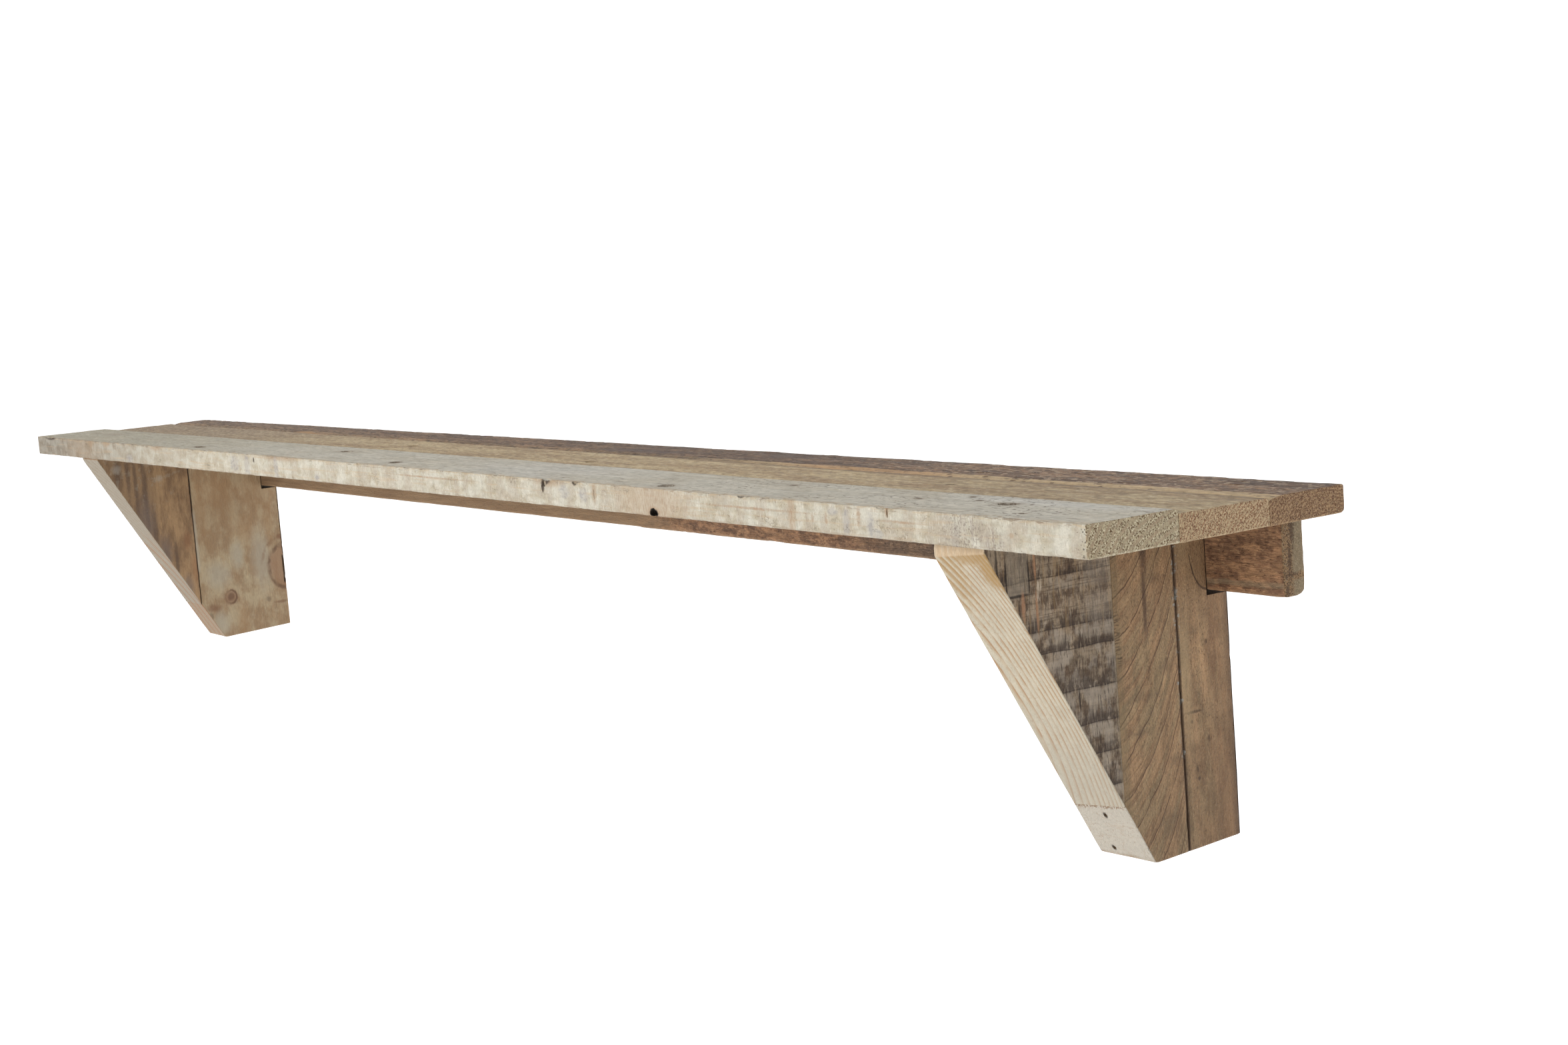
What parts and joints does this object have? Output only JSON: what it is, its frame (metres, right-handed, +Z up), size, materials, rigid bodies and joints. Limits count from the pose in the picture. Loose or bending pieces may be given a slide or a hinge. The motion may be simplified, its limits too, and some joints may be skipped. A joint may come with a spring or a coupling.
{
  "type": "wall shelf",
  "caption": "Long low wall shelf of tapered reclaimed boards on a wall rail, carried by glued timber brackets with a diagonal front cut.",
  "frame": {"origin": "centre of the wall rail's rear face, where the shelf bears on the wall", "axes": "+X along the shelf to the right as seen from the room, +Y into the wall, +Z up"},
  "size_m": [1.8, 0.205, 0.2367],
  "materials": {
    "board_pale_grey": "weathered, sawn, unfinished",
    "board_tan": "weathered, worn smooth, unfinished",
    "board_dark_grey": "weathered, sawn, unfinished",
    "rail_brown": "aged, sawn, unfinished",
    "beam_grey_brown": "aged, band-sawn, unfinished",
    "beam_warm_brown": "aged, unfinished",
    "beam_light_tan": "aged, unfinished",
    "fastener_steel": "plain steel"
  },
  "bodies": {
    "root": {"front_plank": "board_pale_grey", "middle_plank": "board_tan", "rear_plank": "board_dark_grey", "wall_rail": "rail_brown", "left_bracket_front_beam": "beam_grey_brown", "left_bracket_rear_beam": "beam_light_tan", "right_bracket_front_beam": "beam_grey_brown", "right_bracket_middle_beam": "beam_warm_brown", "right_bracket_rear_beam": "beam_warm_brown", "shelf_nails": "fastener_steel", "right_bracket_nails": "fastener_steel", "rail_screws": "fastener_steel"}
  },
  "joints": []
}
